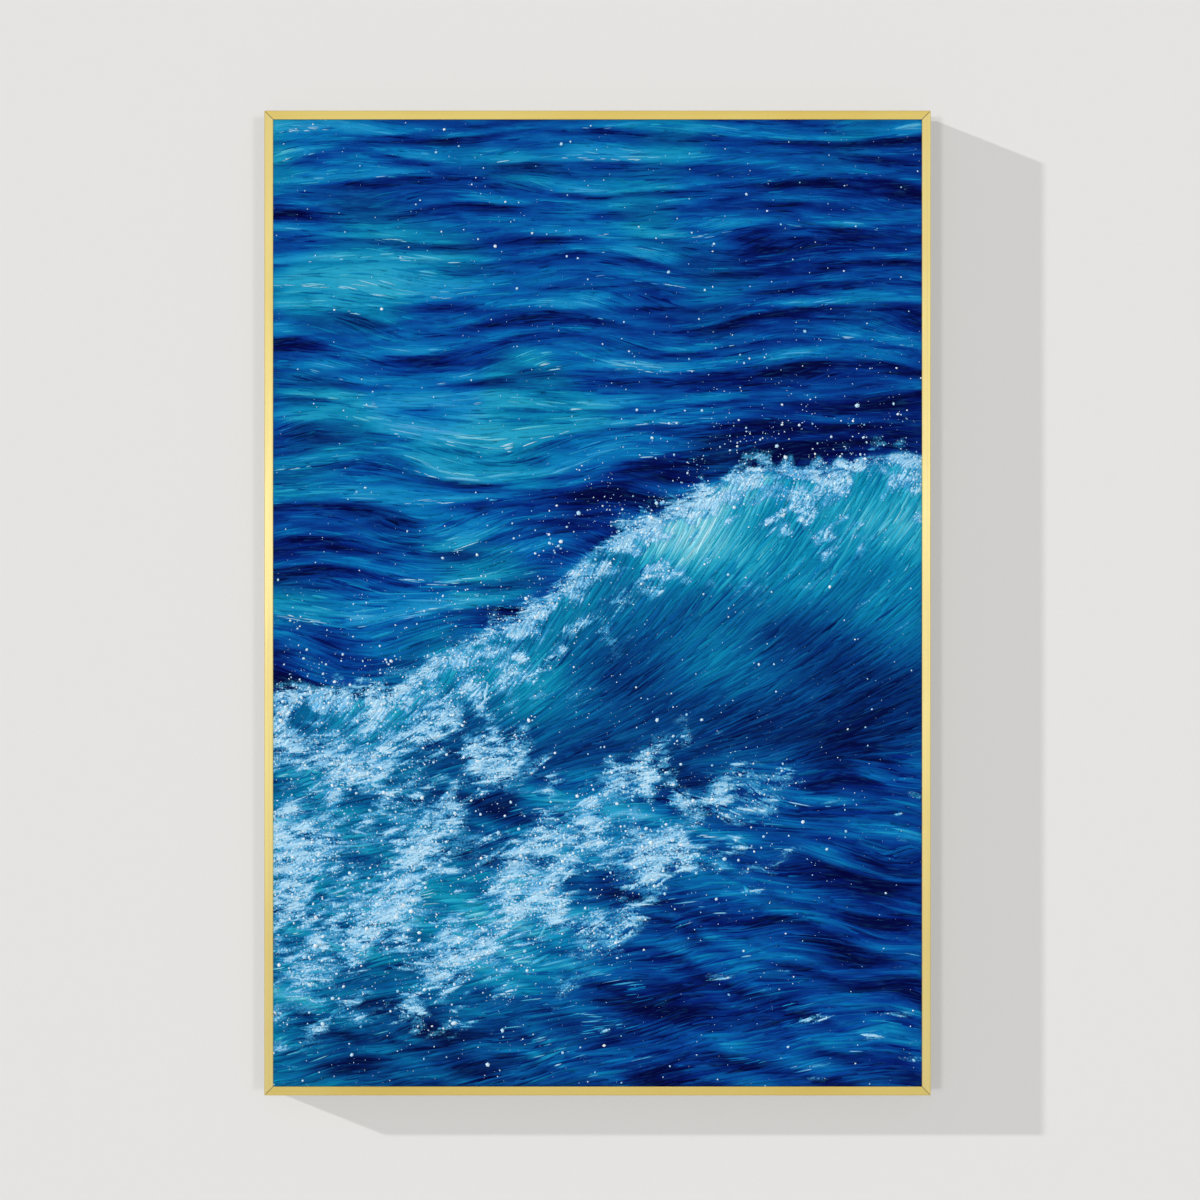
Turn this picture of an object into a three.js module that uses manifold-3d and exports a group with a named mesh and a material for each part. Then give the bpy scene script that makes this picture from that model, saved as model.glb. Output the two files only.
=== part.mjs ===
// Framed oil painting: a stretched canvas in a narrow aluminium frame, made to hang on a wall.
//
// Millimetres, +Z up. The painting faces -Y and the wall is the plane y = 0. The origin is the middle
// of the sawtooth hanger's back face, the spot that rests against the wall at the nail.
//
// Two distances place almost everything: how far in a point lies from the frame's outer edge ("in"),
// and how deep it lies behind the frame's front face ("deep").

import * as THREE from "three";
import { mergeVertices } from "three/addons/utils/BufferGeometryUtils.js";
import Module from "manifold-3d";

// ---------------------------------------------------------------- driving dimensions

const FRAME_WIDTH = 620;
const FRAME_HEIGHT = 916;
const FRAME_DEPTH = 32;
const HANGER_IN = 9; // how far in from the top edge the hanger's middle lies
const WALL_GAP = 3; // between the frame's back and the wall, filled by hanger and bumpers
const CLEARANCE = 0.3; // between pieces that touch

// The rail's section
const WALL = 1.6;
const LIP_WIDTH = 8.4;
const LIP_THICKNESS = 1.8;
const LIP_CHAMFER = 0.5;
const SHELF = 1.4; // thickness of the channel's floor, inner side and hooks
const RAIL_WIDTH = 12;
const CHANNEL_FLOOR_DEEP = 23.8;
const SLOT_WIDTH = 4.6; // the channel's opening towards the back

// The canvas and its stretcher
const CANVAS_IN = 3;
const CLOTH = 0.9;
const FLAP = 30; // how far the cloth is folded over the stretcher's back
const BAR_WIDTH = 38;
const BAR_EDGE_ROUND = 0.8;
const BEAD_WIDTH = 5; // the raised outer edge that carries the cloth
const BEAD_SLOPE = 4;
const BEAD_HEIGHT = 1.3;
const BAR_FALL = 3; // how far the bar's inner edge lies behind the bead
const BRACE_THICKNESS = 13;

// Joining and hanging hardware
const PLATE_LEG = 45;
const PLATE_THICKNESS = 2.4;
const PLATE_SCREW_ALONG = 30;
const SET_SCREW_RADIUS = 2;
const SCREW_SLOT_WIDTH = 0.9;
const SCREW_SLOT_DEPTH = 0.8;
const NUT_PLATE_LENGTH = 68;
const NUT_PLATE_THICKNESS = 2;
const HANGER_LENGTH = 68;
const HANGER_HEIGHT = 16.2;
const HANGER_STEEL = 1;
const HANGER_PAD = 36; // length of the raised middle, which has the teeth
const HANGER_RAMP = 4;
const HANGER_TOP_IN = 1.8;
const TEETH = 9;
const TOOTH_DEPTH = 2.8;
const HANGER_SCREW_X = 28;
const HANGER_SHANK_RADIUS = 1.5;
const HANGER_HEAD_RADIUS = 2.8;
const HANGER_HEAD_HEIGHT = 1.2;
const HOLE_MARGIN = 0.4;
const BUMPER_RADIUS = 5.5;
const BUMPER_CHAMFER = 0.6;
const BUMPER_FROM_SIDE = 60;

// ---------------------------------------------------------------- derived planes and places

const FRONT_Y = -WALL_GAP - FRAME_DEPTH;
const TOP_Z = HANGER_IN;
const MIDDLE_Z = TOP_Z - FRAME_HEIGHT / 2;

const CHANNEL_BACK_DEEP = FRAME_DEPTH - SHELF; // inner face of the hooks
const CHANNEL_WIDTH = RAIL_WIDTH - WALL - SHELF;
const CHANNEL_MIDDLE_IN = WALL + CHANNEL_WIDTH / 2;
const IN_CHANNEL_WIDTH = CHANNEL_WIDTH - 2 * CLEARANCE; // what slides in the channel

const CANVAS_FRONT_DEEP = LIP_THICKNESS + CLEARANCE;
const CANVAS_BACK_DEEP = CHANNEL_FLOOR_DEEP - CLEARANCE;
const BAR_IN = CANVAS_IN + CLOTH + CLEARANCE;
const BAR_FRONT_DEEP = CANVAS_FRONT_DEEP + CLOTH + CLEARANCE;
const BAR_BACK_DEEP = CANVAS_BACK_DEEP - CLOTH - CLEARANCE;

// ---------------------------------------------------------------- materials

const satin = (color, roughness, metalness) =>
  new THREE.MeshStandardMaterial({ color, roughness, metalness, flatShading: true });

const gold = satin(0xe0c66c, 0.38, 1);
const steel = satin(0xb9bcc0, 0.35, 1);
const pine = satin(0xd8b585, 0.7, 0);
const painting = satin(0x1b4f96, 0.5, 0);
const rubber = satin(0x3a3a3c, 0.8, 0);

// ---------------------------------------------------------------- solids and cuts

const wasm = await Module();
wasm.setup();

function toSolid(geometry) {
  const bare = geometry.clone();
  bare.deleteAttribute("normal");
  bare.deleteAttribute("uv");
  const merged = mergeVertices(bare, 1e-4);
  return new wasm.Manifold(
    new wasm.Mesh({
      numProp: 3,
      vertProperties: merged.attributes.position.array,
      triVerts: new Uint32Array(merged.index.array),
    }),
  );
}

function fromSolid(solid) {
  const mesh = solid.getMesh();
  const geometry = new THREE.BufferGeometry();
  geometry.setAttribute("position", new THREE.BufferAttribute(mesh.vertProperties, 3));
  geometry.setIndex(new THREE.BufferAttribute(mesh.triVerts, 1));
  geometry.computeVertexNormals();
  return geometry;
}

// The geometry with each of the tools cut out of it.
function cut(geometry, tools) {
  return fromSolid(tools.reduce((rest, tool) => rest.subtract(toSolid(tool)), toSolid(geometry)));
}

function shapeOf(points) {
  return new THREE.Shape(points.map(([x, y]) => new THREE.Vector2(x, y)));
}

function extrude(points, depth) {
  return new THREE.ExtrudeGeometry(shapeOf(points), { depth, bevelEnabled: false });
}

// A round bar along Y from y0 to y1.
function roundBar(radius, y0, y1, sides = 24) {
  const bar = new THREE.CylinderGeometry(radius, radius, y1 - y0, sides);
  return bar.translate(0, (y0 + y1) / 2, 0);
}

function boxBetween(x0, x1, y0, y1, z0, z1) {
  const box = new THREE.BoxGeometry(x1 - x0, y1 - y0, z1 - z0);
  return box.translate((x0 + x1) / 2, (y0 + y1) / 2, (z0 + z1) / 2);
}

// What a screwdriver's slot takes out of a screw whose crown lies at the given y.
function screwSlot(crown, turn) {
  const reach = 2 * HANGER_HEAD_RADIUS;
  const half = SCREW_SLOT_WIDTH / 2;
  return boxBetween(-reach, reach, crown - SCREW_SLOT_DEPTH, crown + 1, -half, half).rotateY(turn);
}

function named(name, geometry, material) {
  const mesh = new THREE.Mesh(geometry, material);
  mesh.name = name;
  return mesh;
}

// ---------------------------------------------------------------- the four sides

// Each side has its own group, turned about Y so that its local +X points to the middle of the
// picture, +Y to the wall, and +Z along the side. "reach" is from the middle to the outer edge.
const SIDES = {
  left: { turn: 0, reach: FRAME_WIDTH / 2, run: FRAME_HEIGHT },
  top: { turn: Math.PI / 2, reach: FRAME_HEIGHT / 2, run: FRAME_WIDTH },
  right: { turn: Math.PI, reach: FRAME_WIDTH / 2, run: FRAME_HEIGHT },
  bottom: { turn: -Math.PI / 2, reach: FRAME_HEIGHT / 2, run: FRAME_WIDTH },
};

const part = new THREE.Group();

function sideGroup(side) {
  const group = new THREE.Group();
  group.position.set(0, FRONT_Y, MIDDLE_Z);
  group.rotation.y = SIDES[side].turn;
  part.add(group);
  return group;
}

// A bar along one side, with both ends cut at 45 degrees: its section is given as [in, deep] points,
// and each end is drawn back by as much as a point lies in.
function mitredBar(section, side) {
  const { reach, run } = SIDES[side];
  const bar = extrude(section, 1);
  const place = bar.attributes.position;
  const half = run / 2 - CLEARANCE / Math.SQRT2;
  for (let i = 0; i < place.count; i++) {
    const end = half - place.getX(i);
    place.setZ(i, place.getZ(i) > 0.5 ? end : -end);
    place.setX(i, place.getX(i) - reach);
  }
  bar.computeVertexNormals();
  return bar;
}

// ---------------------------------------------------------------- frame rails

const slotStart = CHANNEL_MIDDLE_IN - SLOT_WIDTH / 2;
const slotEnd = CHANNEL_MIDDLE_IN + SLOT_WIDTH / 2;
const channelStart = WALL;
const channelEnd = RAIL_WIDTH - SHELF;
const floorBack = CHANNEL_FLOOR_DEEP + SHELF;

const railSection = [
  [LIP_CHAMFER, 0],
  [LIP_WIDTH - LIP_CHAMFER, 0],
  [LIP_WIDTH, LIP_CHAMFER],
  [LIP_WIDTH, LIP_THICKNESS],
  [WALL, LIP_THICKNESS],
  [WALL, CHANNEL_FLOOR_DEEP],
  [RAIL_WIDTH, CHANNEL_FLOOR_DEEP],
  [RAIL_WIDTH, FRAME_DEPTH],
  [slotEnd, FRAME_DEPTH],
  [slotEnd, CHANNEL_BACK_DEEP],
  [channelEnd, CHANNEL_BACK_DEEP],
  [channelEnd, floorBack],
  [channelStart, floorBack],
  [channelStart, CHANNEL_BACK_DEEP],
  [slotStart, CHANNEL_BACK_DEEP],
  [slotStart, FRAME_DEPTH],
  [0, FRAME_DEPTH],
  [0, LIP_CHAMFER],
];

// ---------------------------------------------------------------- stretcher bars

const barSection = [
  [BAR_IN + BAR_EDGE_ROUND, BAR_FRONT_DEEP],
  [BAR_IN + BEAD_WIDTH, BAR_FRONT_DEEP],
  [BAR_IN + BEAD_WIDTH + BEAD_SLOPE, BAR_FRONT_DEEP + BEAD_HEIGHT],
  [BAR_IN + BAR_WIDTH, BAR_FRONT_DEEP + BAR_FALL],
  [BAR_IN + BAR_WIDTH, BAR_BACK_DEEP],
  [BAR_IN, BAR_BACK_DEEP],
  [BAR_IN, BAR_FRONT_DEEP + BAR_EDGE_ROUND],
];

for (const side of Object.keys(SIDES)) {
  const group = sideGroup(side);
  group.add(named(`frame_rail_${side}`, mitredBar(railSection, side), gold));
  group.add(named(`stretcher_bar_${side}`, mitredBar(barSection, side), pine));
}

const braceHalf = FRAME_WIDTH / 2 - BAR_IN - BAR_WIDTH - CLEARANCE;
const braceBack = FRONT_Y + BAR_BACK_DEEP - 1;
part.add(
  named(
    "stretcher_cross_brace",
    boxBetween(
      -braceHalf,
      braceHalf,
      braceBack - BRACE_THICKNESS,
      braceBack,
      MIDDLE_Z - BAR_WIDTH / 2,
      MIDDLE_Z + BAR_WIDTH / 2,
    ),
    pine,
  ),
);

// ---------------------------------------------------------------- painted canvas

// A box that lies "in" from the frame's outer edge, from one depth to another.
function insetBox(inward, deep0, deep1) {
  const halfWidth = FRAME_WIDTH / 2 - inward;
  const halfHeight = FRAME_HEIGHT / 2 - inward;
  return boxBetween(
    -halfWidth,
    halfWidth,
    FRONT_Y + deep0,
    FRONT_Y + deep1,
    MIDDLE_Z - halfHeight,
    MIDDLE_Z + halfHeight,
  );
}

// The cloth is a tray: a front sheet, four sides and the flaps folded over the stretcher's back.
const canvas = cut(insetBox(CANVAS_IN, CANVAS_FRONT_DEEP, CANVAS_BACK_DEEP), [
  insetBox(CANVAS_IN + CLOTH, CANVAS_FRONT_DEEP + CLOTH, CANVAS_BACK_DEEP - CLOTH),
  insetBox(CANVAS_IN + FLAP, CANVAS_FRONT_DEEP + CLOTH, FRAME_DEPTH),
]);
part.add(named("painted_canvas", canvas, painting));

// ---------------------------------------------------------------- corner plates and screws

const plateFront = FRONT_Y + CHANNEL_BACK_DEEP - CLEARANCE - PLATE_THICKNESS;

// One corner is drawn with its rails running along +X and +Z from the frame's outer corner, and
// turned about Y by quarter turns for the other three.
const CORNERS = [
  { name: "bottom_left", x: -1, z: -1, quarters: 0 },
  { name: "top_left", x: -1, z: 1, quarters: 1 },
  { name: "top_right", x: 1, z: 1, quarters: 2 },
  { name: "bottom_right", x: 1, z: -1, quarters: 3 },
];

const screwAlong = CHANNEL_MIDDLE_IN + PLATE_SCREW_ALONG;
const SCREW_SPOTS = {
  a: { x: screwAlong, z: CHANNEL_MIDDLE_IN, slotTurn: 0.5 },
  b: { x: CHANNEL_MIDDLE_IN, z: screwAlong, slotTurn: 1.9 },
};

// An L that lies in the channels of both rails, with a hole in each leg.
function cornerPlate() {
  const near = channelStart + CLEARANCE;
  const far = near + IN_CHANNEL_WIDTH;
  const end = near + PLATE_LEG;
  const outline = [
    [near, near],
    [end, near],
    [end, far],
    [far, far],
    [far, end],
    [near, end],
  ];
  // The outline's second axis becomes Z, and its thickness runs along Y.
  const plate = extrude(outline, PLATE_THICKNESS).rotateX(Math.PI / 2);
  const plateBack = plateFront + PLATE_THICKNESS;
  const holes = Object.values(SCREW_SPOTS).map(({ x, z }) =>
    roundBar(SET_SCREW_RADIUS + CLEARANCE, plateFront - 1, plateBack + 1).translate(x, 0, z),
  );
  return cut(plate.translate(0, plateBack, 0), holes);
}

// A slotted set screw that presses on the channel's floor.
function setScrew(slotTurn) {
  const front = FRONT_Y + floorBack + CLEARANCE;
  const back = FRONT_Y + CHANNEL_BACK_DEEP + CLEARANCE;
  return cut(roundBar(SET_SCREW_RADIUS, front, back), [screwSlot(back, slotTurn)]);
}

for (const { name, x, z, quarters } of CORNERS) {
  const corner = new THREE.Group();
  corner.position.set((x * FRAME_WIDTH) / 2, 0, MIDDLE_Z + (z * FRAME_HEIGHT) / 2);
  corner.rotation.y = (quarters * Math.PI) / 2;
  corner.add(named(`corner_plate_${name}`, cornerPlate(), steel));
  for (const [leg, spot] of Object.entries(SCREW_SPOTS)) {
    const screw = named(`corner_screw_${name}_${leg}`, setScrew(spot.slotTurn), steel);
    screw.position.set(spot.x, 0, spot.z);
    corner.add(screw);
  }
  part.add(corner);
}

// ---------------------------------------------------------------- sawtooth hanger

const slotZ = TOP_Z - CHANNEL_MIDDLE_IN; // height of the channel's slot in the top rail
const hangerTop = TOP_Z - HANGER_TOP_IN;
const hangerBottom = hangerTop - HANGER_HEIGHT;
const hangerEndBack = -WALL_GAP + CLEARANCE + HANGER_STEEL; // back face of the strip's low ends
const hangerHoleRadius = HANGER_SHANK_RADIUS + HOLE_MARGIN;

// Seen from above, the strip lies low at both ends and is raised to the wall in the middle.
function hangerProfile() {
  const end = HANGER_LENGTH / 2;
  const pad = HANGER_PAD / 2;
  const back = [
    [-end, hangerEndBack],
    [-pad - HANGER_RAMP, hangerEndBack],
    [-pad, 0],
    [pad, 0],
    [pad + HANGER_RAMP, hangerEndBack],
    [end, hangerEndBack],
  ];
  const front = back.map(([x, y]) => [x, y - HANGER_STEEL]).reverse();
  return [...front, ...back];
}

function hangerStrip() {
  const strip = extrude(hangerProfile(), HANGER_HEIGHT).translate(0, 0, hangerBottom);
  const pitch = HANGER_PAD / TEETH;
  const notches = [];
  for (let i = 0; i < TEETH; i++) {
    const middle = (i - (TEETH - 1) / 2) * pitch;
    const notch = [
      [middle - pitch / 2, hangerBottom - 0.01],
      [middle + pitch / 2, hangerBottom - 0.01],
      [middle, hangerBottom + TOOTH_DEPTH],
    ];
    notches.push(extrude(notch, 4).rotateX(Math.PI / 2).translate(0, 2, 0));
  }
  const holes = [-1, 1].map((way) =>
    roundBar(hangerHoleRadius, -WALL_GAP - 1, 1).translate(way * HANGER_SCREW_X, 0, slotZ),
  );
  return cut(strip, [...notches, ...holes]);
}

part.add(named("sawtooth_hanger", hangerStrip(), steel));

const nutBack = FRONT_Y + CHANNEL_BACK_DEEP - CLEARANCE;
const nutPlate = boxBetween(
  -NUT_PLATE_LENGTH / 2,
  NUT_PLATE_LENGTH / 2,
  nutBack - NUT_PLATE_THICKNESS,
  nutBack,
  slotZ - IN_CHANNEL_WIDTH / 2,
  slotZ + IN_CHANNEL_WIDTH / 2,
);
const nutHoles = [-1, 1].map((way) =>
  roundBar(hangerHoleRadius, nutBack - NUT_PLATE_THICKNESS - 1, nutBack + 1).translate(
    way * HANGER_SCREW_X,
    0,
    slotZ,
  ),
);
part.add(named("hanger_nut_plate", cut(nutPlate, nutHoles), steel));

// A round-headed screw: its profile is turned about Y, from the tip to the slotted head.
function hangerScrew(slotTurn) {
  const tip = FRONT_Y + floorBack + CLEARANCE;
  const seat = hangerEndBack + CLEARANCE;
  const crown = seat + HANGER_HEAD_HEIGHT;
  const profile = [
    [0, tip],
    [HANGER_SHANK_RADIUS, tip],
    [HANGER_SHANK_RADIUS, seat],
    [HANGER_HEAD_RADIUS, seat],
    [HANGER_HEAD_RADIUS, seat + HANGER_HEAD_HEIGHT / 2],
    [HANGER_HEAD_RADIUS * 0.7, crown],
    [0, crown],
  ].map(([x, y]) => new THREE.Vector2(x, y));
  return cut(new THREE.LatheGeometry(profile, 24), [screwSlot(crown, slotTurn)]);
}

for (const [side, way] of [["left", -1], ["right", 1]]) {
  const screw = named(`hanger_screw_${side}`, hangerScrew(0.3 + way * 0.5), steel);
  screw.position.set(way * HANGER_SCREW_X, 0, slotZ);
  part.add(screw);
}

// ---------------------------------------------------------------- wall bumpers

const bumperProfile = [
  [0, -WALL_GAP + CLEARANCE],
  [BUMPER_RADIUS, -WALL_GAP + CLEARANCE],
  [BUMPER_RADIUS, -BUMPER_CHAMFER],
  [BUMPER_RADIUS - BUMPER_CHAMFER, 0],
  [0, 0],
].map(([x, y]) => new THREE.Vector2(x, y));

for (const [side, way] of [["left", -1], ["right", 1]]) {
  const bumper = named(`wall_bumper_${side}`, new THREE.LatheGeometry(bumperProfile, 32), rubber);
  bumper.position.set(
    way * (FRAME_WIDTH / 2 - BUMPER_FROM_SIDE),
    0,
    TOP_Z - FRAME_HEIGHT + CHANNEL_MIDDLE_IN,
  );
  part.add(bumper);
}

export default part;
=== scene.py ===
# %% [markdown]
# # A seascape in oils, in a narrow gold frame
#
# The object is a stretched canvas in an aluminium frame. Three things make it look real: the
# brushed metal of the rails, the paint, which lies on the cloth in strokes thick enough to catch
# the light, and a back that shows how the thing is put together. The solids of the frame, the
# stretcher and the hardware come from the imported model, and only get their finish here. The cloth
# and the paint are modelled here.

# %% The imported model
import math

import bpy
import numpy as np
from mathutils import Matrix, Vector


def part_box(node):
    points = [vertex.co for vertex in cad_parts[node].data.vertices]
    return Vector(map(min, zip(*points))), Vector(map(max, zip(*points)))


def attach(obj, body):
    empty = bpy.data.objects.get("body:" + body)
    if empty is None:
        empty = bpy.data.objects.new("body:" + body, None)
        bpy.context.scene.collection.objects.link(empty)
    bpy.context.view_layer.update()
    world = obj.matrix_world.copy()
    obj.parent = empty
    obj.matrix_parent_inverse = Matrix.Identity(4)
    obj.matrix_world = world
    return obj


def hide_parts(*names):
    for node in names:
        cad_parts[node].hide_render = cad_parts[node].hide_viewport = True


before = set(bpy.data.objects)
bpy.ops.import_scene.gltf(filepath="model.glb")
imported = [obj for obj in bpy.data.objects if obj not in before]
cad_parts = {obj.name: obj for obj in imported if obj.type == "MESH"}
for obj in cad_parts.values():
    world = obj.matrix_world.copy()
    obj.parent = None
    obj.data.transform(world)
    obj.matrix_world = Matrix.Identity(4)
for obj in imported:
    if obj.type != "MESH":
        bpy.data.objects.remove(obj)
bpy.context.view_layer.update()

# %% [markdown]
# ## Measures
#
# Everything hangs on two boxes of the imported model: the frame's rails and the canvas. The painting
# itself is laid out in millimetres from the middle of the canvas, x to the right and z up, because
# a painter's marks are a few millimetres wide and read badly in metres.

# %% Measures
MM = 0.001
LIP_WIDTH = 8.4 * MM

canvas_low, canvas_high = (np.array(corner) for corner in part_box("painted_canvas"))
rail_low = np.array(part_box("frame_rail_left")[0])
rail_high = np.array(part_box("frame_rail_right")[1])
middle = (canvas_low + canvas_high) / 2
half_width, _, half_height = (canvas_high - canvas_low) / 2 / MM
sight_x, _, sight_z = (rail_high - rail_low) / 2 / MM - LIP_WIDTH / MM
front_y = canvas_low[1]
print(f"canvas {2 * half_width:.0f} x {2 * half_height:.0f} mm")
print(f"seen inside the lips {2 * sight_x:.0f} x {2 * sight_z:.0f} mm")

# %% [markdown]
# ## Meshes from arrays
#
# Every new piece is worked out as whole numpy arrays and handed to Blender in one go. The helper
# takes the points and any number of face arrays, each with its own number of corners.

# %% Meshes from arrays
def new_piece(name, points, face_groups, material, flat_groups=()):
    """A mesh object from points (n, 3) in metres and face arrays (m, corners), facing outwards."""
    mesh = bpy.data.meshes.new(name)
    mesh.vertices.add(len(points))
    mesh.vertices.foreach_set("co", np.ascontiguousarray(points, dtype=np.float32).ravel())
    corners = np.concatenate([faces.ravel() for faces in face_groups]).astype(np.int32)
    counts = np.concatenate([np.full(len(faces), faces.shape[1]) for faces in face_groups])
    smooth = np.concatenate([
        np.full(len(faces), index not in flat_groups) for index, faces in enumerate(face_groups)
    ])
    mesh.loops.add(len(corners))
    mesh.loops.foreach_set("vertex_index", corners)
    mesh.polygons.add(len(counts))
    mesh.polygons.foreach_set("loop_start", (np.cumsum(counts) - counts).astype(np.int32))
    mesh.polygons.foreach_set("use_smooth", smooth)
    mesh.update(calc_edges=True)
    mesh.validate()
    mesh.materials.append(material)
    piece = bpy.data.objects.new(name, mesh)
    bpy.context.collection.objects.link(piece)
    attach(piece, "root")
    return piece


def add_colours(piece, name, colours):
    """A colour per vertex, from an array (n, 3) of linear values."""
    held = piece.data.attributes.new(name, "FLOAT_COLOR", "POINT")
    full = np.ones((len(colours), 4), dtype=np.float32)
    full[:, :3] = colours
    held.data.foreach_set("color", full.ravel())


def add_numbers(piece, name, numbers):
    """A number per vertex."""
    held = piece.data.attributes.new(name, "FLOAT", "POINT")
    held.data.foreach_set("value", np.ascontiguousarray(numbers, dtype=np.float32).ravel())


def add_map(piece, name, places):
    """A UV map from a place (n, 2) per vertex."""
    loops = np.empty(len(piece.data.loops), dtype=np.int32)
    piece.data.loops.foreach_get("vertex_index", loops)
    layer = piece.data.uv_layers.new(name=name)
    layer.data.foreach_set("uv", np.ascontiguousarray(places[loops], dtype=np.float32).ravel())


def on_canvas(x, z, height):
    """Points in metres from millimetres on the canvas and a height in front of it."""
    x, z, height = np.broadcast_arrays(x, z, height)
    place = np.stack([middle[0] + x * MM, front_y - height * MM, middle[2] + z * MM], axis=-1)
    return place.reshape(-1, 3)


def add_front_map(piece, points):
    """The map named OFBake: the piece as seen from the front, so that a mark that lies over another
    also covers it on the map."""
    u = (points[:, 0] - canvas_low[0]) / (canvas_high[0] - canvas_low[0])
    v = (points[:, 2] - canvas_low[2]) / (canvas_high[2] - canvas_low[2])
    add_map(piece, "OFBake", np.stack([u, v], axis=-1))

# %% [markdown]
# ## Shader maths
#
# Materials are written as expressions. A Value wraps an output socket, and adding or multiplying
# two of them adds a Math node. A Finish holds one material and makes every other node with one
# method, which sets the node's settings first and then its sockets.

# %% Shader maths
class Value:
    """A socket in a material; arithmetic on it adds Math nodes."""

    def __init__(self, finish, socket):
        self.finish = finish
        self.socket = socket

    def math(self, operation, *values):
        return self.finish.node("ShaderNodeMath", {"operation": operation}, values)

    def __add__(self, other):
        return self.math("ADD", self, other)

    def __sub__(self, other):
        return self.math("SUBTRACT", self, other)

    def __mul__(self, other):
        return self.math("MULTIPLY", self, other)

    __radd__ = __add__


class Finish:
    """One material, with its Principled shader and helpers that add nodes to it."""

    def __init__(self, name, **constants):
        self.material = bpy.data.materials.new(name)
        self.material.use_nodes = True
        self.tree = self.material.node_tree
        self.shader = self.tree.nodes["Principled BSDF"]
        self.use(**constants)

    def put(self, socket, value):
        """Links a Value, or sets a number or a colour; a string is a screen colour such as #1c62b8."""
        if isinstance(value, Value):
            self.tree.links.new(value.socket, socket)
        else:
            socket.default_value = (*linear(value), 1.0) if isinstance(value, str) else value

    def node(self, kind, settings=None, sockets=(), out=0):
        made = self.tree.nodes.new(kind)
        for key, value in (settings or {}).items():
            setattr(made, key, value)
        pairs = sockets.items() if isinstance(sockets, dict) else enumerate(sockets)
        for key, value in pairs:
            self.put(made.inputs[key], value)
        return Value(self, made.outputs[out])

    def place(self):
        return self.node("ShaderNodeTexCoord", out="Object")

    def axes(self, place):
        """The x, y and z of a place, each as a Value."""
        split = self.node("ShaderNodeSeparateXYZ", None, {"Vector": place}).socket.node
        return [Value(self, socket) for socket in split.outputs]

    def face_on(self):
        """The place as the front shows it: x to the right and z up, for patterns on the flat canvas."""
        x, _, z = self.axes(self.place())
        return self.node("ShaderNodeCombineXYZ", None, [x, z])

    def noise(self, place, scale, detail=3.0, roughness=0.6, dimensions="3D"):
        """Noise of about scale lumps a metre. Three scales, one for each axis, stretch it."""
        if isinstance(scale, tuple):
            place = self.node("ShaderNodeMapping", None, {"Vector": place, "Scale": scale})
            scale = 1.0
        sockets = {"Vector": place, "Scale": scale, "Detail": detail, "Roughness": roughness}
        return self.node("ShaderNodeTexNoise", {"noise_dimensions": dimensions}, sockets)

    def colour_of(self, name):
        """The colour that the mesh carries under this name."""
        return self.node("ShaderNodeAttribute", {"attribute_name": name}, out="Color")

    def number_of(self, name):
        """The number that the mesh carries under this name."""
        return self.node("ShaderNodeAttribute", {"attribute_name": name}, out="Fac")

    def between(self, value, low, high):
        """0 below low, 1 above high, and a smooth rise between."""
        settings = {"interpolation_type": "SMOOTHSTEP"}
        return self.node("ShaderNodeMapRange", settings, {"Value": value, "From Min": low, "From Max": high})

    def blend(self, factor, first, second, how="MIX"):
        settings = {"data_type": "RGBA", "blend_type": how}
        return self.node("ShaderNodeMix", settings, {0: factor, 6: first, 7: second}, out=2)

    def tint(self, colour, value, low, high, most, second, how="MIX"):
        """Lays a second colour over the first where value is high, up to the share most."""
        return self.blend(self.between(value, low, high) * most, colour, second, how)

    def bump(self, height, distance, strength):
        sockets = {"Height": height, "Distance": distance, "Strength": strength}
        return self.node("ShaderNodeBump", None, sockets)

    def use(self, **sockets):
        """Fills the shader's sockets, Base_Color for Base Color, and returns the material."""
        for socket, value in sockets.items():
            self.put(self.shader.inputs[socket.replace("_", " ")], value)
        return self.material


def linear(hexadecimal):
    """A screen colour such as #1c62b8 as three linear values."""
    parts = np.array([int(hexadecimal[i : i + 2], 16) for i in (1, 3, 5)]) / 255
    return np.where(parts <= 0.04045, parts / 12.92, ((parts + 0.055) / 1.055) ** 2.4)

# %% [markdown]
# ## Camera
#
# The picture is looked at straight on, from far enough away that its sides stay hidden. A long
# lens a little under three metres off does that.

# %% Camera
VIEW_SIDE = 1.1159
PICTURE_LEFT_OF_CENTRE = 2.3 * MM
PICTURE_BELOW_CENTRE = 2.8 * MM

lens = bpy.data.cameras.new("camera")
lens.lens = 85
lens.sensor_width = 36
camera = bpy.data.objects.new("camera", lens)
bpy.context.collection.objects.link(camera)
distance = VIEW_SIDE * lens.lens / lens.sensor_width
camera.location = (
    middle[0] + PICTURE_LEFT_OF_CENTRE,
    rail_low[1] - distance,
    middle[2] + PICTURE_BELOW_CENTRE,
)
camera.rotation_euler = (math.pi / 2, 0, 0)
bpy.context.scene.camera = camera
print(f"camera {distance:.2f} m in front of the frame")

# %% [markdown]
# ## Wall and floor
#
# The picture hangs on a pale wall, which is there for the shadows that it catches. It is seen from
# the front only: from behind it lets the view through, so that the back of the picture can be
# looked at. A white wall beside gold takes on a yellow tinge and a dark corner, and both would draw
# the eye off the picture. So the wall is darker than it looks and glows a little: what the frame
# throws on it, light or shade, then counts for less, and its lamps make up for that.

# %% Wall and floor
WALL_HALF = 4.0
FLOOR_BELOW = 1.1
WALL_GLOW = 0.345


def stage_plane(name, corner, right, up, material):
    """A rectangle from one corner and its two edges."""
    corner, right, up = Vector(corner), Vector(right), Vector(up)
    mesh = bpy.data.meshes.new(name)
    mesh.from_pydata([corner, corner + right, corner + right + up, corner + up], [], [(0, 1, 2, 3)])
    plane = bpy.data.objects.new(name, mesh)
    bpy.context.collection.objects.link(plane)
    mesh.materials.append(material)
    return plane


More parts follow.
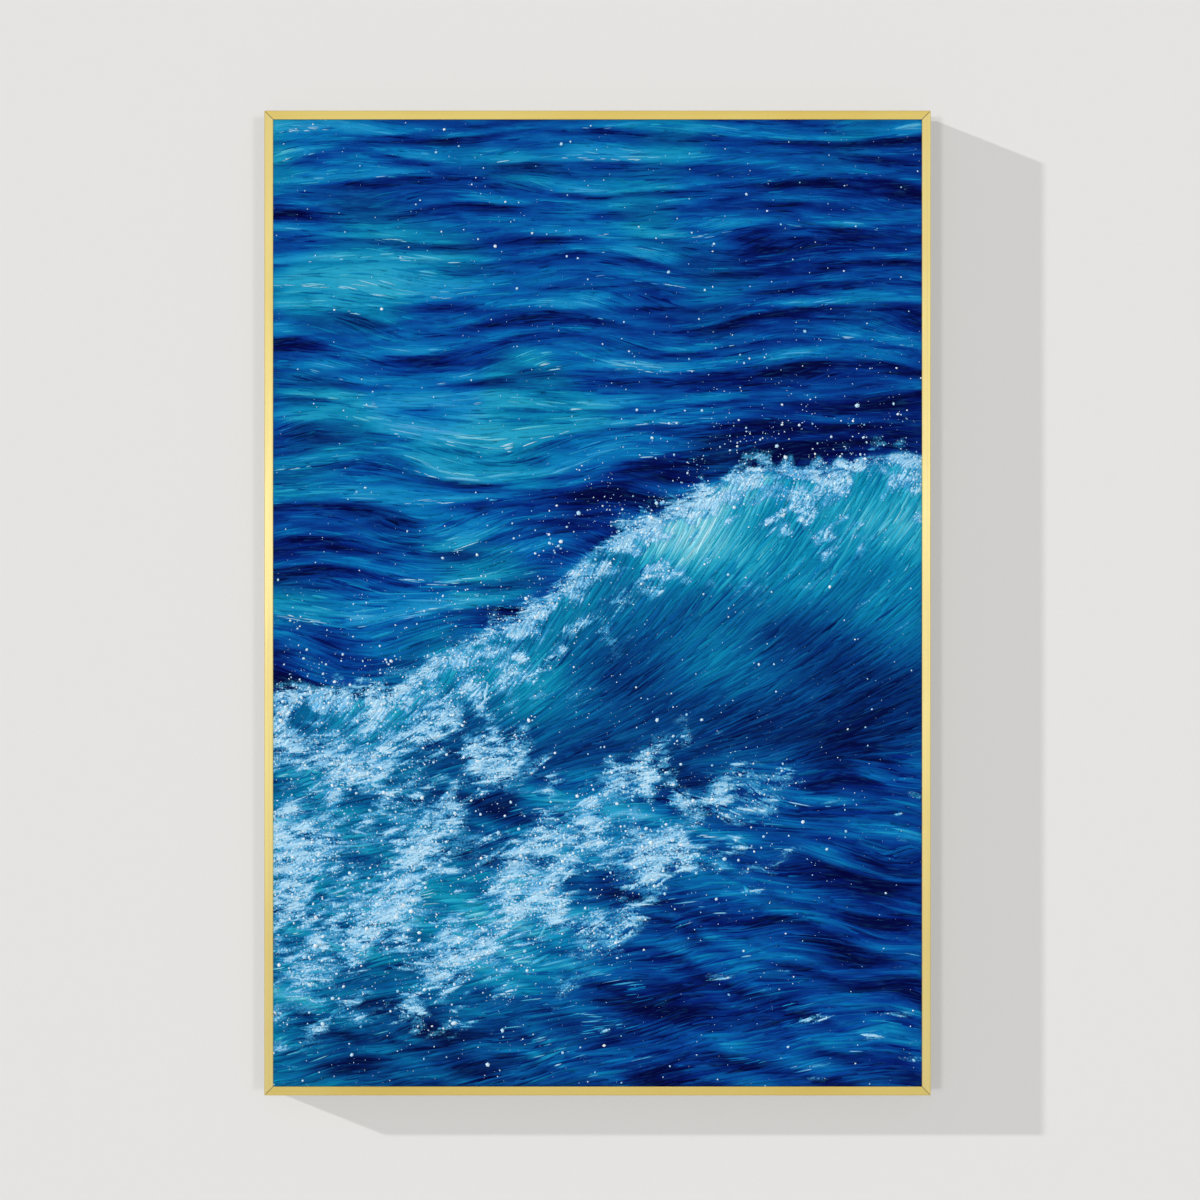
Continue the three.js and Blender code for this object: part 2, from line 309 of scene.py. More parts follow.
def plaster():
    """A grey wall with a faint glow and a fine roller texture, clear where it is seen from behind."""
    finish = Finish("wall_paint", Roughness=0.85, Specular_IOR_Level=0.0, Base_Color="#7e7d7c")
    finish.use(Emission_Color="#ecebe9", Emission_Strength=WALL_GLOW)
    height = finish.noise(finish.place(), 320.0, 1.0)
    finish.use(Normal=finish.bump(height, 0.0002, 0.25))
    behind = finish.node("ShaderNodeNewGeometry", out="Backfacing")
    shown = Value(finish, finish.shader.outputs[0])
    clear = finish.node("ShaderNodeBsdfTransparent")
    mixed = finish.node("ShaderNodeMixShader", None, [behind, shown, clear])
    finish.put(finish.tree.nodes["Material Output"].inputs["Surface"], mixed)
    return finish.material


floor_z = rail_low[2] - FLOOR_BELOW
across_room = (2 * WALL_HALF, 0, 0)
wall = stage_plane(
    "wall", (-WALL_HALF, 0, floor_z), across_room, (0, 0, WALL_HALF - floor_z), plaster()
)
wall.visible_shadow = False
floor_paint = Finish("floor_paint", Roughness=0.8, Base_Color="#e2e0dc").material
stage_plane("floor", (-WALL_HALF, -WALL_HALF, floor_z), across_room, (0, 2 * WALL_HALF, 0), floor_paint)
print(f"floor {FLOOR_BELOW} m below the frame")

# %% [markdown]
# ## Light
#
# A low sun from the upper left gives the wall its long shadow: an edge as far in front of the wall
# as the frame is deep throws it SHADOW_RIGHT and SHADOW_DOWN millimetres off. Two copy lights, one
# on each side, add the narrow shadow along the frame. These three light the wall alone. A sun on the
# same slant rakes the paint, so that its ridges show, and the frame's lip is left out of what casts
# shadows on it. Everything else is soft: a bright room, a broad panel beside the camera, which is
# what the satin rails mirror at half height, and two panels behind for the picture's back.

# %% Lights
SHADOW_RIGHT = 111.0
SHADOW_DOWN = 44.0
SHADOW_DEPTH = 35.0
COPY_SHADOW = 14.7


def add_light(name, kind, energy, location, towards, **settings):
    """A lamp that shines towards a direction; only what it lights is seen, never the lamp."""
    light = bpy.data.lights.new(name, kind)
    light.energy = energy
    for key, value in settings.items():
        setattr(light, key, value)
    lamp = bpy.data.objects.new(name, light)
    lamp.location = location
    lamp.rotation_euler = Vector(towards).to_track_quat("-Z", "Y").to_euler()
    lamp.visible_camera = False
    bpy.context.collection.objects.link(lamp)
    return lamp


world = bpy.data.worlds.new("studio")
world.use_nodes = True
sky = world.node_tree.nodes["Background"].inputs
sky["Color"].default_value = (0.97, 0.985, 1.0, 1.0)
sky["Strength"].default_value = 0.62
bpy.context.scene.world = world
bpy.context.scene.view_settings.view_transform = "Standard"

sun_way = (SHADOW_RIGHT, SHADOW_DEPTH, -SHADOW_DOWN)
only_wall = bpy.data.collections.new("only_wall")
only_wall.objects.link(wall)
for name, energy, towards, softness in (
    ("low_sun", 8.2, sun_way, 1.2),
    ("copy_light_left", 1.8, (COPY_SHADOW, SHADOW_DEPTH, 0), 7),
    ("copy_light_right", 1.25, (-COPY_SHADOW, SHADOW_DEPTH, 0), 7),
):
    lamp = add_light(name, "SUN", energy, (-2, -2, 1), towards, angle=math.radians(softness))
    lamp.light_linking.receiver_collection = only_wall
raking_sun = add_light("raking_sun", "SUN", 2.2, (-2, -2, 1), sun_way, angle=math.radians(3))
only_paint = bpy.data.collections.new("only_paint")
raking_sun.light_linking.receiver_collection = only_paint
raking_sun.light_linking.blocker_collection = only_paint

eye = Vector(camera.location)
above, beside = eye + Vector((0, -0.2, 0.4)), eye + Vector((0, 0.1, 0.1))
ahead = (0, 1, 0)
cool = (0.70, 0.84, 1.0)
wide_panel = {"shape": "RECTANGLE", "size": 4.0, "size_y": 3.0}
low_panel = {"shape": "RECTANGLE", "size": 2.4, "size_y": 0.5, "color": cool}
back_panel = {"shape": "SQUARE", "size": 1.4}
add_light("broad_panel", "AREA", 11, above, ahead, **wide_panel)
add_light("panel_at_camera", "AREA", 5.2, beside, ahead, **low_panel)
add_light("panel_behind_left", "AREA", 26, (1.6, 1.8, 0.6), (-0.6, -1, -0.45), **back_panel)
add_light("panel_behind_right", "AREA", 12, (-1.8, 1.6, -0.2), (0.7, -1, -0.1), **back_panel)
print("lights", len(bpy.data.lights))

# %% [markdown]
# ## Gold rails
#
# The rails are extruded aluminium, brushed along their length and anodised a pale gold. Anodising
# leaves the metal bare to the eye, so the finish is a metal of middling roughness. The brushing
# shows as fine lines along each rail, so the noise that drives it is stretched hard in that
# direction. The anodising's clear skin is a coat. On upright rails it is full, because the low panel
# beside the camera shows in it as a pale gleam at half height, and on level rails it is faint. A weld
# joins the solids' loose triangles, and a bevel gives each edge the small radius that a die leaves.

# %% Gold rails
def brushed_gold(name, across, pale, deep, coat):
    """across scales the pattern along x, y and z: high across the brushing, low along it."""
    finish = Finish(name, Metallic=1.0, Coat_Weight=coat, Coat_Roughness=0.2, Coat_IOR=1.8)
    place = finish.place()
    lines = finish.noise(place, across, 4.0, 0.62)
    drawn = finish.noise(place, tuple(scale * 0.16 for scale in across), 3.0)
    grit = finish.noise(place, 1900.0, 2.0, 0.5)
    cloud = finish.noise(place, 7.0, 2.0, 0.5)
    colour = finish.tint(pale, cloud, 0.35, 0.7, 1.0, deep)
    colour = finish.tint(colour, lines, 0.35, 0.75, 0.30, "#d0ad4e")
    colour = finish.tint(colour, drawn, 0.45, 0.72, 0.16, "#c9a444")
    roughness = 0.36 + (lines - 0.5) * 0.2 + (drawn - 0.5) * 0.16 + (cloud - 0.5) * 0.06 + (grit - 0.5) * 0.1
    normal = finish.bump(lines * 0.7 + grit * 0.5, 0.00006, 0.5)
    return finish.use(Base_Color=colour, Roughness=roughness, Normal=normal)


def dress(material, edge, *nodes):
    """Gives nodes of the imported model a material, and a small radius in millimetres on their edges."""
    for node in nodes:
        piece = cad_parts[node]
        piece.data.materials.clear()
        piece.data.materials.append(material)
        weld = piece.modifiers.new("weld", "WELD")
        weld.merge_threshold = 0.01 * MM
        bevel = piece.modifiers.new("edge", "BEVEL")
        bevel.width = edge * MM
        bevel.segments = 2
        bevel.limit_method = "ANGLE"
        bevel.angle_limit = math.radians(30)
    print(material.name, "on", len(nodes), "nodes")


BRUSHING = 4200.0
DRAW = 9.0
# The upright copy's gold is a shade paler than the level copy's: painted sheen, for the gleam that the
# uprights show at half height.
gold_upright = brushed_gold("gold_upright", (BRUSHING, BRUSHING, DRAW), "#eed67c", "#e9cd6e", 1.0)
gold_level = brushed_gold("gold_level", (DRAW, BRUSHING, BRUSHING), "#ebd27a", "#e6c96c", 0.15)
dress(gold_upright, 0.18, "frame_rail_left", "frame_rail_right")
dress(gold_level, 0.18, "frame_rail_top", "frame_rail_bottom")

# %% [markdown]
# ## Pine, zinc and rubber
#
# The back of the picture is joinery. The stretcher bars are sawn pine: pale early wood, darker
# late wood in long lines that wander a little, and fibres along the bar. Plates, screws and the
# hanger are steel under thin zinc, which is cool, cloudy and scuffed. The two buttons are rubber,
# matt, with dust in their pores.

# %% Pine, zinc and rubber
def pine(name, level):
    """Grain lines = sine of the distance across the bar, bent by noise that is long along the bar."""
    finish = Finish(name, Specular_IOR_Level=0.35)
    place = finish.place()
    long_way = (1.4, 75.0, 75.0) if level else (75.0, 75.0, 1.4)
    fibre_way = (22.0, 1700.0, 1700.0) if level else (1700.0, 1700.0, 22.0)
    x, y, z = finish.axes(place)
    wander = finish.noise(place, long_way, 3.0, 0.5)
    turn = (z if level else x) * 620.0 + y * 260.0 + wander * 22.0
    late = finish.between(turn.math("SINE", turn), 0.1, 1.0)
    fibre = finish.noise(place, fibre_way)
    soil = finish.noise(place, 11.0)
    wood = finish.blend(late * 0.5, "#e6cda4", "#c69a63")
    wood = finish.tint(wood, fibre, 0.4, 0.75, 0.35, "#b98d5a")
    wood = finish.tint(wood, soil, 0.5, 0.8, 0.25, "#a98560")
    normal = finish.bump(fibre * 0.7 + late * 0.3, 0.00025, 0.6)
    return finish.use(Base_Color=wood, Roughness=0.62 + (fibre - 0.5) * 0.25, Normal=normal)


def zinc():
    """Cool grey clouds, and scuffs that are long in z."""
    finish = Finish("zinc_steel", Metallic=1.0)
    place = finish.place()
    cloud = finish.noise(place, 160.0, 4.0)
    scuff = finish.noise(place, (2600.0, 2600.0, 190.0))
    metal = finish.tint("#c3c8cd", cloud, 0.35, 0.7, 1.0, "#9da3aa")
    metal = finish.tint(metal, scuff, 0.58, 0.8, 0.5, "#d9d6c8")
    normal = finish.bump(cloud * 0.5 + scuff * 0.5, 0.00008, 0.5)
    return finish.use(Base_Color=metal, Roughness=0.34 + (cloud - 0.5) * 0.3, Normal=normal)


def rubber():
    """Matt black with fine pores and patches of dust."""
    finish = Finish("rubber", Specular_IOR_Level=0.4)
    place = finish.place()
    pores = finish.noise(place, 2600.0)
    dust = finish.noise(place, 240.0, 4.0, 0.65)
    colour = finish.tint("#2b2b2d", dust, 0.5, 0.8, 0.35, "#77746f")
    normal = finish.bump(pores, 0.00012, 0.5)
    return finish.use(Base_Color=colour, Roughness=0.7 + (dust - 0.5) * 0.3, Normal=normal)


zinc_steel = zinc()
hardware = [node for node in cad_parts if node.startswith(("corner_", "hanger_", "sawtooth_"))]
dress(pine("pine_upright", False), 0.4, "stretcher_bar_left", "stretcher_bar_right")
dress(pine("pine_level", True), 0.4, "stretcher_bar_top", "stretcher_bar_bottom", "stretcher_cross_brace")
dress(zinc_steel, 0.1, *hardware)
dress(rubber(), 0.3, "wall_bumper_left", "wall_bumper_right")

# %% [markdown]
# ## The sea, as a plan
#
# A painter blocks a picture in before the first stroke: where the wave stands, where it is dark,
# where it turns green, which way the water runs. Here that plan is a set of smooth functions of the
# place on the canvas. Every stroke and dab asks the plan for its colour and its direction, and every
# drop for where it lands and how big it is.
# It is an ordinary breaker: open water behind it, a translucent face on the right, foam that has
# already fallen on the left, and calmer deep water at the lower right.

# %% Soft noise and colour ranges
PLANE_WAVES = 14


def soft_noise(x, z, size, seed):
    """A smooth random field, about -1 to 1: the sum of some plane waves in random directions
    with random phases, their lengths spread round size, in millimetres."""
    waves = np.random.default_rng(seed)
    total = 0
    for _ in range(PLANE_WAVES):
        way = waves.uniform(0, 2 * math.pi)
        turn = 2 * math.pi / (size * waves.uniform(0.6, 1.7))
        total = total + np.sin(turn * (x * math.cos(way) + z * math.sin(way)) + waves.uniform(0, 7))
    return total / math.sqrt(2 * PLANE_WAVES)


def rise(value, low, high):
    """0 below low, 1 above high, and a smooth rise between (high may be the smaller)."""
    part = np.clip((value - low) / (high - low), 0, 1)
    return part * part * (3 - 2 * part)


def bell(value, centre, wide):
    """1 at the centre, falling to nothing beyond about twice the width on both sides."""
    return np.exp(-(((value - centre) / wide) ** 2))


def mix(first, second, share):
    """Colours part of the way from the first to the second, the share given per place."""
    share = np.asarray(share)[..., None]
    return first * (1 - share) + second * share


def paint_range(*colours):
    """A function that turns 0..1 into the colours in order, mixed between neighbours."""
    stops = np.linspace(0, 1, len(colours))
    values = np.array([linear(colour) for colour in colours])

    def mixed(amount):
        return np.stack([np.interp(amount, stops, values[:, i]) for i in range(3)], axis=-1)

    return mixed


blue = paint_range(
    "#01053f", "#020f5c", "#03257c", "#043f96", "#0558a8", "#0576ba", "#1c92cc", "#58aede", "#a6d6f2"
)
green = paint_range(
    "#010d42", "#022a66", "#034682", "#045e92", "#0676a2", "#0a90b4", "#2aacc8", "#6ccadc", "#bce8f2"
)
foam = paint_range("#1f86c0", "#48a2d4", "#74bce4", "#9bd2f0", "#c0e4f8", "#eef7fc")

# %% The wave's place
def crest(x):
    """Height of the breaking edge: a slope with one long swing and one short one."""
    return 28 + 0.40 * x + 32 * np.sin(x / 88 + 0.4) + 6 * np.sin(x / 21 + 1.3)


def zones(x, z):
    """Height over the crest, the face's depth, how far up the face, and the three zones' shares."""
    over = z - crest(x)
    depth = 45 + 215 * rise(x, -250, 160)
    foot = rise(over, -depth - 40, -depth + 20)
    behind = rise(over, -6, 6)
    up = np.clip(1 + over / depth, 0, 1)
    return over, depth, up, behind, foot * (1 - behind), 1 - foot


def eye_level(z):
    """Height with the far water's finer scale: a logarithm, steeper towards the top."""
    closing = 0.34
    return -half_height / closing * np.log(1 - closing * z / half_height)


# %% Ripples, streaks and foam
def ridges(x, z, size, seed, bend=2.7):
    """Phase of wavelets: it grows with z, and long soft noise bends it, so ridges part and meet."""
    return 2 * math.pi * z / size + bend * soft_noise(x, 3.2 * z, 6 * size, seed)


def lit(phase):
    """Light on a ridge: sin(p + 0.65 sin p), which changes fast at its lower edge and slowly above,
    flattened towards -1 and 1 by a hyperbolic tangent, as a brush leaves flat patches."""
    return np.tanh(1.7 * np.sin(phase + 0.65 * np.sin(phase)))


def cloud(x, z):
    """Billows of foam: three soft noises in a frame turned with the flow, stretched along it."""
    along = 0.94 * x + 0.34 * z + 8 * soft_noise(x, z, 110, 18)
    across = 0.94 * z - 0.34 * x + 5 * soft_noise(x, z, 80, 19)
    return (
        soft_noise(along, 1.6 * across, 86, 16)
        + 0.60 * soft_noise(along, 1.8 * across, 36, 17)
        + 0.42 * soft_noise(along, 2.0 * across, 16, 20)
    )


FACE_START = 0.30
FACE_TURN = 0.85


def flow(x, over, depth, up):
    """Place across the face's streaks: x less the way that a streak has run sideways, which is the
    integral of 1 / tan(angle) up the face, a logarithm of its sine."""
    run = np.log(np.sin(FACE_START + FACE_TURN * up) / math.sin(FACE_START))
    return x - 0.9 * depth / FACE_TURN * run


def drawn_level(x, z, over):
    """Eye level, pulled up a little with the crest where it is near."""
    return eye_level(z) - 0.3 * np.exp(-np.abs(over) / 80) * (crest(x) - 28)


# %% Direction of the water
def heading(x, z):
    """The angle that a brush follows: along the ridges behind, up the face, and across in front."""
    over, depth, up, behind, face, front = zones(x, z)
    step = 3.0

    def along_ridges(field):
        slope_x = field(x + step, z) - field(x - step, z)
        slope_z = field(x, z + step) - field(x, z - step)
        return -np.clip(slope_x / np.maximum(slope_z, 0.06), -0.4, 0.4)

    far = along_ridges(lambda x, z: ridges(x, drawn_level(x, z, z - crest(x)), 33, 4))
    near = along_ridges(lambda x, z: ridges(x - 0.6 * z, eye_level(z) + 0.20 * x, 26, 8))
    turbulent = rise(x + 0.8 * z, 20, -160)
    near = near * (1 - turbulent) + (0.24 + 0.2 * soft_noise(x, z, 70, 8)) * turbulent
    return 0.9 * far * behind + (FACE_START + FACE_TURN * up) * face + 0.8 * near * front

# %% The plan
def sea(x, z):
    """The plan at each place: tone, greenness, foam, its light, spray, and the ridges' bright lines."""
    over, depth, up, behind, face, front = zones(x, z)
    swell = soft_noise(x, 2.6 * z, 330, 1)
    patch = soft_noise(x, z, 130, 2)
    broken = 0.75 + soft_noise(x, 2 * z, 95, 6)
    level = drawn_level(x, z, over)
    middle_ridge = ridges(x, level, 33, 4)
    rippled = 0.42 * lit(ridges(x, level, 78, 3)) + 0.55 * broken * lit(middle_ridge)
    rippled = rippled + 0.26 * lit(ridges(x, level, 14, 5))
    tone_behind = 0.48 + 0.20 * swell + 0.27 * rippled - 0.18 * bell(over, 32, 30) - 0.12 * rise(x, -120, 200)
    tone_behind = np.where(tone_behind > 0.5, 0.5 + 0.24 * np.tanh((tone_behind - 0.5) / 0.24), tone_behind)

    side = flow(x, over, depth, up)
    streak = soft_noise(6 * side, over, 120, 9) + 0.7 * soft_noise(15 * side, over, 120, 10)
    reach = 0.35 + 0.65 * rise(x, -250, 160)
    tone_face = 0.18 + 0.60 * up ** 1.35 * reach + 0.040 * streak * (0.5 + up) + 0.15 * patch

    lying = eye_level(z) + 0.20 * x
    low_ridge = ridges(x - 0.6 * z, lying, 26, 8)
    rippled_front = 0.40 * lit(ridges(x - 0.6 * z, lying, 60, 7)) + 0.52 * broken * lit(low_ridge)
    rippled_front = rippled_front + 0.24 * lit(ridges(x - 0.6 * z, lying, 12, 13))
    tone_front = 0.30 + 0.15 * patch + 0.22 * rippled_front
    greenness = behind * (0.10 + 0.60 * rise(patch + 0.5 * swell - 0.0012 * x, 0.05, 1.0))
    greenness = greenness + face * (0.60 + 0.40 * up) + front * (0.15 + 0.65 * rise(x, 120, -260))

    bulk = cloud(x, z)
    relief = bulk - cloud(x + 3, z - 5)
    ragged = soft_noise(x, z, 46, 14)
    fine = soft_noise(x, z, 17, 15)
    lump = rise(ragged + 0.8 * fine, -0.9, 0.7)
    edge = bell(over, 1 - 5 * lump, 6 + 15 * lump) * (0.75 + 0.3 * lump + 0.25 * fine)
    fallen = rise(x, 60, -190) * rise(over, 10, -20) * rise(over, -depth - 130, -depth - 10)
    apron = bell(z, -238 + 0.20 * x + 24 * np.sin(x / 60), 88 - 0.13 * x) * rise(x, 290, 0)
    broad = np.maximum(0.78 * fallen, 0.80 * apron)
    white = np.clip(broad - 0.17 + 0.52 * bulk * rise(broad, 0.02, 0.4), 0, 0.95)
    veil = 0.85 * face * rise(over, -150, -5) * rise(bulk + 0.5 * fine, 0.1, 1.0)
    trails = 0.42 * rise(soft_noise(x, 3.4 * z, 60, 21), 0.55, 1.1) * rise(patch, -0.3, 0.4) * front
    spray = rise(over, -10, 8) * np.exp(-np.maximum(over, 0) / 46) * (0.5 + 0.5 * ragged)
    bright_line = bell(np.sin(middle_ridge), 0, 0.35) * (np.cos(middle_ridge) > 0) * behind
    bright_line = bright_line + bell(np.sin(low_ridge), 0, 0.35) * (np.cos(low_ridge) > 0) * front
    tone = tone_behind * behind + tone_face * face + tone_front * front + 0.22 * broad * (1 - behind)
    return {
        "tone": 0.45 + 1.10 * (tone - 0.45),
        "green": np.clip(greenness + 0.4 * broad, 0, 1),
        "foam": np.maximum.reduce([white, edge, veil, trails]),
        "light": np.clip(0.50 + 0.55 * relief + 0.22 * bulk, 0, 1),
        "spray": np.clip(spray + 0.4 * broad, 0, 1),
        "line": bright_line * rise(ragged + swell, -0.1, 0.7),
        "ridge": np.sin(middle_ridge) * behind + np.sin(low_ridge) * front,
        "face": face,
        "near": rise(z, half_height, -half_height),
    }


def water_of(plan, lift=0.0, greener=0.0):
    """The water's colour by tone and greenness. Foam is laid over it by the finish."""
    tone = np.clip(plan["tone"] + lift, 0, 1)
    return mix(blue(tone), green(tone), np.clip(plan["green"] + greener, 0, 1))

# %% [markdown]
# ## Paint on the cloth
#
# Oil paint has a skin: bristles leave fine ridges along a stroke, the cloth's weave prints through
# where the paint is thin, and a stroke that runs dry lets the colour under it show. The finish
# reads two colours from each mark, its own and what lies under it, and lets a noise that is
# stretched along the stroke choose between them, so that a stroke's edges fray as a brush's do.
# Foam is too fine to model flake by flake. Each point only carries its share of foam, and one
# pattern, the same for every mark, breaks that share into veils, stiff paint and specks, so that
# foam runs on from a stroke to its neighbour without a seam.

# %% Oil paint
THREADS_PER_METRE = 640
OIL_GLOSS = 0.02
SHADE = (0.03, 0.08, 0.2, 1.0)
SHINE = (0.05, 0.45, 0.8, 1.0)


def weave_height(finish, flat):
    """Over-and-under threads: the squares of two crossed sine waves, one per thread direction."""
    turns = [axis * (math.pi * THREADS_PER_METRE) for axis in finish.axes(flat)[:2]]
    across, up = [turn.math("SINE", turn) for turn in turns]
    return across * across + up * up


def foamed(finish, flat, water):
    """Foam over the water's colour. The mark's share of foam is worn by two noises, a long one and a
    grainy one, and cut twice: at the first cut lies a thin veil, at the second stiff paint. Dots are
    the middles of Voronoi cells, wider where there is more foam, and each cell's own random number
    makes them unequal. Returns the colour and the height."""
    share = finish.number_of("foam")
    light = finish.number_of("light")
    drift = finish.noise(flat, (48.0, 130.0, 1.0), 3.0, 0.68, "2D")
    grain = finish.noise(flat, 480.0, 2.0, dimensions="2D")
    laid = share * (1 + (drift - 0.5) * 3.4 + (grain - 0.5) * 2.2)
    stiff = finish.between(laid, 0.52, 1.05)
    scaled = {"Vector": flat, "Scale": 260.0}
    cells = finish.node("ShaderNodeTexVoronoi", {"voronoi_dimensions": "2D"}, scaled).socket.node.outputs
    spread = Value(finish, cells["Distance"]) + Value(finish, cells["Color"]) * 0.3 + grain * 0.5
    dots = finish.between(spread - share * 0.22, 0.36, 0.26) * finish.between(share, 0.06, 0.3)
    colour = finish.tint(water, laid, 0.14, 0.60, 0.8, finish.blend(light, "#1a86be", "#52b2e0"))
    colour = finish.blend(stiff, colour, finish.blend(light, "#5cb2e2", "#b4e0f8"))
    colour = finish.blend(dots * 0.85, colour, "#dff1fb")
    return colour, stiff * 0.8 + dots


def stroke_paint(name, fray, roughness, bristle_depth):
    """Paint of a brush stroke: its UV map runs along the stroke and across it, in millimetres."""
    finish = Finish(name, Specular_IOR_Level=OIL_GLOSS)
    flat = finish.face_on()
    along = finish.node("ShaderNodeUVMap", {"uv_map": "stroke"})
    bristles = finish.noise(along, (0.05, 1.9, 1.0), dimensions="2D")
    clumps = finish.noise(along, (0.04, 0.5, 1.0), 2.0, 0.5, "2D")
    worn = finish.number_of("load") + (bristles - 0.5) * fray + (clumps - 0.5) * fray * 0.7
    cover = finish.between(worn, 0.24, 0.5)
    colour = finish.blend(cover, finish.colour_of("under"), finish.colour_of("paint"))
    colour = finish.tint(colour, bristles, 0.45, 0.8, cover * 0.14, SHADE, "MULTIPLY")
    colour = finish.tint(colour, clumps, 0.52, 0.8, cover * 0.07, SHINE, "SCREEN")
    colour, laid_height = foamed(finish, flat, colour)
    height = bristles * bristle_depth * cover + weave_height(finish, flat) * 0.2 + laid_height
    normal = finish.bump(height, 0.00016, 0.6)
    return finish.use(Base_Color=colour, Roughness=roughness + (bristles - 0.5) * 0.2, Normal=normal)


def thick_paint(name):
    """Foam and drops: stiff pale paint with a lumpy skin."""
    finish = Finish(name, Specular_IOR_Level=OIL_GLOSS)
    place = finish.place()
    lumps = finish.noise(place, 900.0)
    drag = finish.noise(place, 260.0, 2.0, 0.5)
    colour = finish.tint(finish.colour_of("paint"), drag, 0.4, 0.75, 0.5, finish.colour_of("under"))
    normal = finish.bump(lumps * 0.6 + drag * 0.6, 0.00025, 0.4)
    return finish.use(Base_Color=colour, Roughness=0.45 + (lumps - 0.5) * 0.2, Normal=normal)

# %% [markdown]
# ## The ground coat
#
# Under the strokes lies a thin coat of paint over the whole cloth. It is one closed slab: a front
# grid with a little relief, a rim, and a flat back. The plan's colour sits on its points, and the
# finish draws the brush's drag over it, long along the water and fine across it.

# %% The ground coat
COAT = 0.3
CELL = 2.65
EDGE_ROOM = 0.6
SUNK = -0.18


def near_lip(x, z):
    """1 on the open picture and 0 under the frame's lip, where the rail presses the paint flat."""
    inside = np.minimum(sight_x - np.abs(x), sight_z - np.abs(z))
    return rise(inside, 0, 7)


def canvas_grid(cell):
    """Places over the whole canvas, about a cell apart, as grids of x and of z."""
    spans = [np.linspace(-half, half, int(2 * half / cell) + 1) for half in (half_width, half_height)]
    return np.meshgrid(*spans)


def grid_quads(rows, columns):
    """The quads of a grid whose rows go up and columns go right, seen from the front."""
    corner = (np.arange(rows - 1)[:, None] * columns + np.arange(columns - 1)).ravel()
    return np.stack([corner, corner + 1, corner + columns + 1, corner + columns], axis=1)


def grid_rim(rows, columns):
    """The grid's border as a closed ring of point numbers, anticlockwise from the front."""
    number = np.arange(rows * columns).reshape(rows, columns)
    return np.concatenate([number[0, :-1], number[:-1, -1], number[-1, :0:-1], number[:0:-1, 0]])


def ring_quads(first, second):
    """The quads between two rings of the same length."""
    return np.stack([first, second, np.roll(second, -1), np.roll(first, -1)], axis=1)


def ground_coat(material):
    """Front height = soft brush relief; the rim drops to a flat back, which is closed by a fan."""
    x, z = canvas_grid(CELL)
    rows, columns = x.shape
    relief = 0.10 * soft_noise(x, z, 9, 11) + 0.08 * soft_noise(x, z, 21, 12)
    front = on_canvas(x, z, relief * near_lip(x, z))
    rim = grid_rim(rows, columns)
    back_rim = front[rim].copy()
    back_rim[:, 1] = front_y + COAT * MM
    centre = np.array([[middle[0], front_y + COAT * MM, middle[2]]])
    points = np.concatenate([front, back_rim, centre])
    ring = len(front) + np.arange(len(rim))
    fan = np.stack([np.roll(ring, -1), ring, np.full(len(rim), len(points) - 1)], axis=1)
    faces = [fan, ring_quads(rim, ring), grid_quads(rows, columns)]
    piece = new_piece("ground_paint", points, faces, material, (0, 1))
    flat = (points[:, [0, 2]] - middle[[0, 2]]) / MM
    plan = sea(flat[:, 0], flat[:, 1])
    add_colours(piece, "paint", water_of(plan))
    add_numbers(piece, "foam", plan["foam"])
    add_numbers(piece, "light", plan["light"])
    add_front_map(piece, points)
    return piece


def ground_paint():
    """The plan's colour under fine drag lines, with foam and the cloth's weave over it."""
    finish = Finish("ground_paint", Specular_IOR_Level=OIL_GLOSS)
    flat = finish.face_on()
    brushed = finish.noise(flat, (55.0, 520.0, 1.0), dimensions="2D")
    colour = finish.tint(finish.colour_of("paint"), brushed, 0.45, 0.8, 0.3, SHADE, "MULTIPLY")
    colour = finish.tint(colour, brushed, 0.5, 0.2, 0.07, SHINE, "SCREEN")
    colour, laid_height = foamed(finish, flat, colour)
    height = brushed * 0.5 + weave_height(finish, flat) * 0.25 + laid_height
    normal = finish.bump(height, 0.0002, 0.7)
    return finish.use(Base_Color=colour, Roughness=0.5 + (brushed - 0.5) * 0.2, Normal=normal)


ground = ground_coat(ground_paint())
painted = [ground]
print("ground coat", len(ground.data.polygons), "faces")

# %% [markdown]
# ## Brush strokes
#
# A stroke is a ribbon that follows the water's direction: it starts at its middle and is carried a
# step at a time both ways, all strokes at once. Across, it is a low crown that comes down to the
# ground coat at both edges; along, it swells and runs out to a point. Each stroke is closed
# underneath, so it is a real sliver of paint. Where strokes cross, the thicker one is on top.

# %% Brush strokes
def stroke_paths(x, z, length, stations, turn):
    """Centre lines (n, stations, 2): from the middle, equal steps along the plan's direction, each
    stroke turned off it by its own angle."""
    step = length / (stations - 1)
    half = stations // 2
    path = np.empty((len(x), stations, 2))
    path[:, half, 0] = x
    path[:, half, 1] = z
    for way, order in ((1, range(half + 1, stations)), (-1, range(half - 1, -1, -1))):
        at_x, at_z = x, z
        for k in order:
            angle = heading(at_x, at_z) + turn
            at_x = at_x + way * step * np.cos(angle)
            at_z = at_z + way * step * np.sin(angle)
            path[:, k, 0] = at_x
            path[:, k, 1] = at_z
    return path


def leaf(stations, blunt):
    """Width along a stroke, 0..1: a sine arch raised to a power; a small power gives blunt ends."""
    t = np.linspace(0, 1, stations)
    return np.maximum(np.sin(math.pi * t ** 0.85), 0) ** blunt * 0.96 + 0.04


